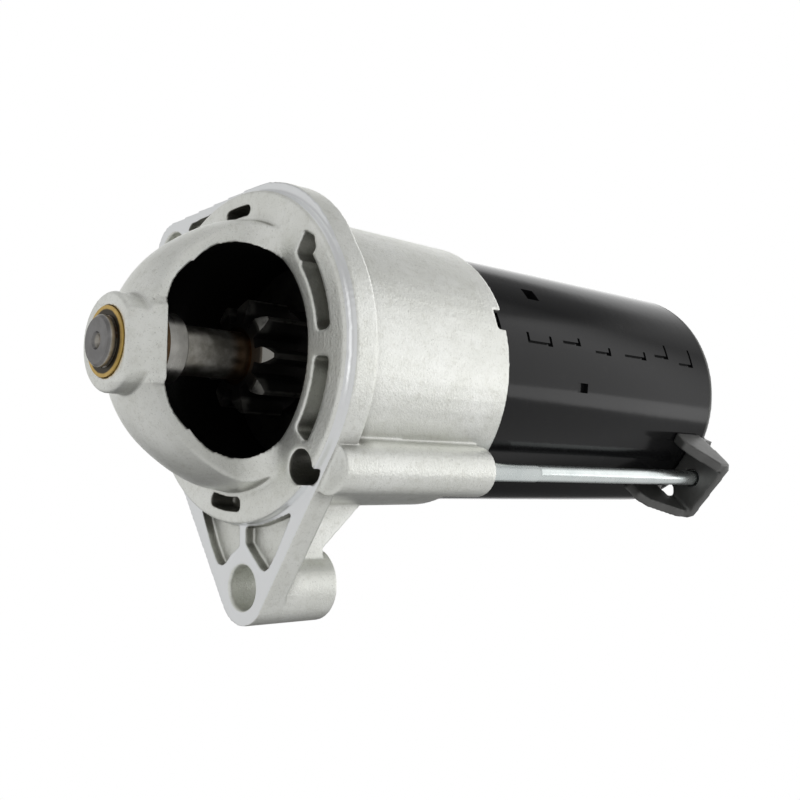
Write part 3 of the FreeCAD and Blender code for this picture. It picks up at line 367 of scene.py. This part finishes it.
def plastic(name, dark, light, roughness):
    """Moulded, painted or sintered black material without metal gloss."""
    s = Shader(name, light, roughness, 0.0)
    drift = s.noise(90.0, 3.0, 0.5)
    s.into(s.mix(drift, dark, light), "Base Color")
    fine = s.noise(1800.0, 2.0, 0.5)
    s.into(s.blend_value(fine, roughness - 0.06, roughness + 0.08), "Roughness")
    s.bump((fine, 0.02 * MM, 0.4))
    return s.material


def worn_shaft_steel():
    """Ground steel that has browned where the pinion rubs it."""
    s = Shader("shaft_steel", (0.5, 0.49, 0.46), 0.3, 1.0)
    x = s.split()[0]
    turned = s.noise(1.0, 3.0, 0.6, s.stretched((2600.0, 60.0, 60.0)))
    mottle = s.noise(260.0, 4.0, 0.65)
    steel = s.mix(s.step(mottle, 0.35, 0.7), (0.36, 0.34, 0.30), (0.62, 0.60, 0.56))
    rust = s.mix(mottle, (0.10, 0.045, 0.015), (0.26, 0.14, 0.05))
    near_pinion = s.step(x, PINION_LO.x - 5.5 * MM, PINION_LO.x - 2.0 * MM)
    near_bush = s.times(s.step(x, HOUSING_LO.x - 1.6 * MM, HOUSING_LO.x - 0.6 * MM),
                        s.step(x, HOUSING_LO.x + 3.0 * MM, HOUSING_LO.x), s.step(mottle, 0.42, 0.6))
    brown = s.math("MAXIMUM", near_pinion, near_bush)
    tip = s.step(x, SHAFT_LO.x + 0.8 * MM, SHAFT_LO.x + 0.4 * MM)
    steel = s.mix(s.times(tip, 0.75), steel, (0.16, 0.16, 0.17))
    s.into(s.mix(s.times(brown, 0.85), steel, rust), "Base Color")
    s.into(s.blend_value(mottle, 0.24, 0.46), "Roughness")
    s.bump((turned, 0.01 * MM, 0.4), (mottle, 0.01 * MM, 0.3))
    return s.material


def pinion_steel():
    """Hardened steel, dark between the teeth and rubbed bright on their front bevels and tips."""
    s = Shader("pinion_steel", (0.10, 0.10, 0.10), 0.38, 1.0)
    x = s.split()[0]
    r = s.radius()
    mottle = s.noise(300.0, 4.0, 0.65)
    front = s.step(x, PINION_LO.x + 3.4 * MM, PINION_LO.x + 1.6 * MM)
    high = s.step(r, 10.3 * MM, 11.6 * MM)
    tip = s.step(r, 13.7 * MM, 14.1 * MM)
    rubbed = s.times(s.math("MAXIMUM", s.times(front, high), tip), s.step(mottle, 0.25, 0.5))
    s.into(s.mix(rubbed, (0.085, 0.083, 0.080), (0.36, 0.355, 0.33)), "Base Color")
    s.into(s.blend_value(mottle, 0.28, 0.5), "Roughness")
    s.bump((s.noise(1500.0, 3.0, 0.6), 0.02 * MM, 0.5))
    return s.material


def bush_with_dark_ring():
    """Sintered bronze, bright at its outer edge and near black in a ring round the shaft."""
    s = Shader("bush_with_dark_ring", (0.62, 0.42, 0.14), 0.32, 1.0)
    mottle = s.noise(600.0, 3.0, 0.6)
    bronze = s.mix(mottle, (0.50, 0.32, 0.08), (0.82, 0.58, 0.20))
    # a ring round the shaft is coloured near black
    dark_ring = s.step(s.math("ADD", s.radius(), s.times(mottle, 0.3 * MM)), 7.65 * MM, 7.25 * MM)
    s.into(s.mix(dark_ring, bronze, (0.06, 0.05, 0.035)), "Base Color")
    s.into(s.blend_value(mottle, 0.26, 0.42), "Roughness")
    s.bump((mottle, 0.02 * MM, 0.4))
    return s.material


MATERIALS = {
    "cast_aluminium": cast_aluminium(),
    "black_paint": black_paint(),
    "grey_steel": metal("grey_steel", (0.13, 0.13, 0.126), (0.165, 0.165, 0.16), 0.38, 0.7, 900.0),
    "zinc_steel": metal("zinc_steel", (0.82, 0.88, 0.87), (0.93, 0.98, 0.97), 0.28, 1.0, 700.0, depth=0.003),
    "machined_steel": metal("machined_steel", (0.36, 0.35, 0.33), (0.55, 0.54, 0.51), 0.3, 1.0,
                            streak=(2400.0, 60.0, 60.0)),
    "dark_steel": metal("dark_steel", (0.07, 0.068, 0.064), (0.14, 0.135, 0.125), 0.4, 0.9),
    "spring_steel": metal("spring_steel", (0.30, 0.30, 0.31), (0.5, 0.5, 0.51), 0.28),
    "bronze": metal("bronze", (0.50, 0.30, 0.09), (0.80, 0.58, 0.24), 0.32),
    "copper": metal("copper", (0.60, 0.27, 0.14), (0.86, 0.47, 0.30), 0.3),
    "laminated_steel": metal("laminated_steel", (0.16, 0.16, 0.16), (0.3, 0.3, 0.3), 0.42, 1.0,
                             streak=(4000.0, 30.0, 30.0)),
    "ferrite": plastic("ferrite", (0.03, 0.03, 0.032), (0.06, 0.06, 0.064), 0.6),
    "carbon": plastic("carbon", (0.025, 0.023, 0.022), (0.06, 0.055, 0.05), 0.5),
    "brass_plate": metal("brass_plate", (0.62, 0.45, 0.16), (0.83, 0.66, 0.33), 0.3),
    "black_plastic": plastic("black_plastic", (0.012, 0.012, 0.012), (0.022, 0.022, 0.022), 0.42),
    "black_rubber": plastic("black_rubber", (0.010, 0.010, 0.010), (0.018, 0.018, 0.018), 0.62),
}
SPECIAL = {
    "drive_shaft": worn_shaft_steel(),
    "pinion": pinion_steel(),
    "nose_bush": bush_with_dark_ring(),
    "pinion_bush": metal("oily_bronze", (0.05, 0.028, 0.012), (0.13, 0.075, 0.03), 0.35),
    "nose_thrust_washer": metal("oily_washer", (0.05, 0.035, 0.02), (0.14, 0.09, 0.05), 0.4),
}


# ---- pieces that replace CAD nodes ----

def adopt(obj, node, material):
    """Puts a new piece in the place of a CAD node."""
    obj.data.materials.clear()
    obj.data.materials.append(material)
    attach(obj, "root")
    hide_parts(node)


def softened(node, name, voxel, rounds, slot):
    """A copy of a CAD node with its edges rounded over like a casting or a pressing."""
    obj = bpy.data.objects.new(name, NODES[node].data.copy())
    bpy.context.scene.collection.objects.link(obj)
    remesh = obj.modifiers.new("remesh", "REMESH")
    remesh.mode = "VOXEL"
    remesh.voxel_size = voxel
    smooth = obj.modifiers.new("smooth", "SMOOTH")
    smooth.factor = 0.5
    smooth.iterations = rounds
    shape = obj.evaluated_get(bpy.context.evaluated_depsgraph_get())
    mesh = bpy.data.meshes.new_from_object(shape)
    obj.modifiers.clear()
    obj.data = mesh
    mesh.polygons.foreach_set("use_smooth", [True] * len(mesh.polygons))
    adopt(obj, node, MATERIALS[slot])
    return obj


def creases_beside_nose_band(mesh):
    """A crease along each side of the flat band that runs across the dome."""
    for vertex in mesh.vertices:
        x, y, z = vertex.co
        aside = abs(abs(z) - BAND_HALF_Z) / CREASE_HALF_W
        facing_out = vertex.normal.y * y + vertex.normal.z * z
        if aside < 1.0 and y < BAND_Y and CREASE_FROM_X < x < CREASE_TO_X and facing_out > 3.0 * MM:
            ends = min(1.0, (x - CREASE_FROM_X) / MM, (CREASE_TO_X - x) / (4.0 * MM))
            vertex.co -= vertex.normal * (CREASE_DEPTH * (1.0 - aside) * ends)


def hexagon_radius(flats, angle):
    """Distance from the middle of a hexagon to its side, in one direction."""
    return flats / 2 / math.cos(angle % (math.pi / 3) - math.pi / 6)


def bolt_rings():
    """(x, radius at each angle) along one through-bolt, from the thread's tip to the head."""
    angles = [2 * math.pi * i / BOLT_SIDES for i in range(BOLT_SIDES)]
    rings = [(BOLT_TIP_X, [1.6 * MM] * BOLT_SIDES)]
    count = int((THREAD_END_X - BOLT_TIP_X - MM) / THREAD_PITCH * RINGS_PER_TURN)
    for i in range(count):
        x = BOLT_TIP_X + 0.8 * MM + THREAD_PITCH * i / RINGS_PER_TURN
        phases = [(x / THREAD_PITCH - a / (2 * math.pi)) % 1.0 for a in angles]
        rings.append((x, [THREAD_R - THREAD_DEPTH * (1 - abs(2 * p - 1)) for p in phases]))
    round_shank = [SHANK_R] * BOLT_SIDES
    rings += [(THREAD_END_X + 0.3 * MM, round_shank), (HEAD_X, round_shank)]
    head = ((HEAD_X, HEAD_BEVEL_R), (HEAD_X + 0.3 * MM, HEAD_CORNER_R),
            (BOLT_HI.x - 0.35 * MM, HEAD_CORNER_R), (BOLT_HI.x, HEAD_BEVEL_R))
    for x, limit in head:
        rings.append((x, [min(limit, hexagon_radius(HEAD_FLATS, a)) for a in angles]))
    return angles, rings


def threaded_bolts():
    """Both through-bolts with rolled threads and hexagon heads."""
    angles, rings = bolt_rings()
    verts = []
    faces = []
    for turn in BOLT_TURNS:
        cy = BOLT_PITCH_R * math.cos(turn)
        cz = BOLT_PITCH_R * math.sin(turn)
        first = len(verts)
        for x, radii in rings:
            verts += [(x, cy + r * math.cos(a), cz + r * math.sin(a)) for r, a in zip(radii, angles)]
        for k in range(len(rings) - 1):
            for i in range(BOLT_SIDES):
                a = first + k * BOLT_SIDES + i
                b = first + k * BOLT_SIDES + (i + 1) % BOLT_SIDES
                faces.append((a, b, b + BOLT_SIDES, a + BOLT_SIDES))
        last = first + (len(rings) - 1) * BOLT_SIDES
        faces.append(tuple(range(first + BOLT_SIDES - 1, first - 1, -1)))
        faces.append(tuple(range(last, last + BOLT_SIDES)))
    mesh = bpy.data.meshes.new("threaded_bolts")
    mesh.from_pydata(verts, [], faces)
    shape = bmesh.new()
    shape.from_mesh(mesh)
    bmesh.ops.recalc_face_normals(shape, faces=shape.faces)
    shape.to_mesh(mesh)
    shape.free()
    mesh.polygons.foreach_set("use_smooth", [len(p.vertices) == 4 for p in mesh.polygons])
    mesh.set_sharp_from_angle(angle=math.radians(40))
    obj = bpy.data.objects.new("threaded_bolts", mesh)
    bpy.context.scene.collection.objects.link(obj)
    adopt(obj, "through_bolts", MATERIALS["zinc_steel"])


def paint_cad_nodes():
    """Every CAD node gets the node material of its slot, or its own."""
    for part in frame["record"]["subparts"]:
        obj = NODES[part["node"]]
        material = SPECIAL.get(part["node"]) or MATERIALS[part["material_slot"]]
        if obj.data.materials:
            for i in range(len(obj.data.materials)):
                obj.data.materials[i] = material
        else:
            obj.data.materials.append(material)


# ---- stage ----

def add_camera():
    """Long-lens view from below the nose, on the window side."""
    cam = bpy.data.objects.new("camera", bpy.data.cameras.new("camera"))
    bpy.context.scene.collection.objects.link(cam)
    up = CAMERA_RIGHT.cross(CAMERA_FORWARD).normalized()
    side = CAMERA_FORWARD.cross(up).normalized()
    turn = Matrix((side, up, -CAMERA_FORWARD.normalized())).transposed()
    cam.matrix_world = Matrix.Translation(CAMERA_PLACE) @ turn.to_4x4()
    cam.data.lens = CAMERA_LENS
    cam.data.sensor_width = 36.0
    cam.data.clip_start = 0.01
    bpy.context.scene.camera = cam


def seen_or_lighting(tree, seen, lighting):
    """The first value for what the camera sees, the second for what lights the object."""
    path = tree.nodes.new("ShaderNodeLightPath")
    blend = tree.nodes.new("ShaderNodeMix")
    blend.data_type = "FLOAT"
    tree.links.new(path.outputs["Is Camera Ray"], blend.inputs[0])
    for value, socket in ((lighting, blend.inputs[2]), (seen, blend.inputs[3])):
        if isinstance(value, (int, float)):
            socket.default_value = value
        else:
            tree.links.new(value, socket)
    return blend.outputs[0]


def studio_level(tree, vector):
    """Brightness of the room in one direction: pale backdrop, dark ceiling, soft box, shaded ground."""
    nodes = tree.nodes
    link = tree.links.new

    def step(given, start, end):
        made = nodes.new("ShaderNodeMapRange")
        made.interpolation_type = "SMOOTHSTEP"
        link(given, made.inputs["Value"])
        made.inputs["From Min"].default_value = start
        made.inputs["From Max"].default_value = end
        return made.outputs[0]

    def blend(factor, low, high):
        made = nodes.new("ShaderNodeMix")
        made.data_type = "FLOAT"
        link(factor, made.inputs[0])
        for given, socket in ((low, made.inputs[2]), (high, made.inputs[3])):
            if isinstance(given, (int, float)):
                socket.default_value = given
            else:
                link(given, socket)
        return made.outputs[0]

    axes = nodes.new("ShaderNodeSeparateXYZ")
    link(vector, axes.inputs[0])
    x, y, z = axes.outputs
    lamp = blend(step(z, -0.06, -0.09), SOFT_BOX, LAMP_EDGE)
    near_side = blend(step(x, 0.42, 0.66), NEAR_SHADE, lamp)
    backdrop = blend(step(x, 0.50, 0.20), BACKDROP, BACKDROP_LEFT)
    walls = blend(step(y, -0.15, 0.25), near_side, backdrop)
    ground = blend(step(z, -0.36, -0.62), GROUND_NEAR, GROUND_DEEP)
    ground = blend(step(y, -0.30, 0.45), ground, GROUND_BACK)
    back_room = blend(step(z, -0.06, -0.30), walls, ground)
    near_room = blend(step(z, -0.19, -0.22), walls, ground)
    room = blend(step(y, -0.35, -0.15), near_room, back_room)
    front = blend(step(z, -0.1, -0.5), FRONT, GROUND_DEEP)
    room = blend(step(x, 0.15, -0.30), room, front)
    ceiling = blend(step(z, 0.80, 1.0), CEILING, CEILING_TOP)
    return blend(step(z, 0.545, 0.615), room, ceiling)


def add_light():
    """The studio as the world's own light, pure white where the camera sees it."""
    world = bpy.data.worlds.new("studio")
    bpy.context.scene.world = world
    world.use_nodes = True
    tree = world.node_tree
    direction = tree.nodes.new("ShaderNodeTexCoord").outputs["Generated"]
    background = tree.nodes["Background"]
    background.inputs["Color"].default_value = (1.0, 1.0, 1.0, 1.0)
    level = seen_or_lighting(tree, 1.0, studio_level(tree, direction))
    tree.links.new(level, background.inputs["Strength"])


def add_floor():
    """Wide pale floor below the part, which hangs from its flange; it glows like the ground of the room."""
    mesh = bpy.data.meshes.new("floor")
    z = HOUSING_LO.z - FLOOR_BELOW
    corners = [(FLOOR_HALF * x, FLOOR_HALF * y, z) for x, y in ((-1, -1), (1, -1), (1, 1), (-1, 1))]
    mesh.from_pydata(corners, [], [(0, 1, 2, 3)])
    floor = bpy.data.objects.new("floor", mesh)
    bpy.context.scene.collection.objects.link(floor)
    s = Shader("floor", (0.0, 0.0, 0.0), 1.0)
    s.set("Specular IOR Level", 0.0)
    s.set("Emission Color", (1.0, 1.0, 1.0, 1.0))
    towards = s.node("ShaderNodeVectorMath", operation="NORMALIZE")
    s.link(s.place, towards.inputs[0])
    level = studio_level(s.tree, towards.outputs[0])
    s.into(seen_or_lighting(s.tree, 1.0, level), "Emission Strength")
    mesh.materials.append(s.material)


paint_cad_nodes()
casting = softened("drive_housing", "housing_casting", CASTING_VOXEL, CASTING_ROUNDS, "cast_aluminium")
creases_beside_nose_band(casting.data)
softened("rear_end_frame", "end_frame_pressing", PRESSING_VOXEL, PRESSING_ROUNDS, "grey_steel")
threaded_bolts()
add_camera()
add_light()
add_floor()
bpy.context.scene.view_settings.view_transform = "Standard"
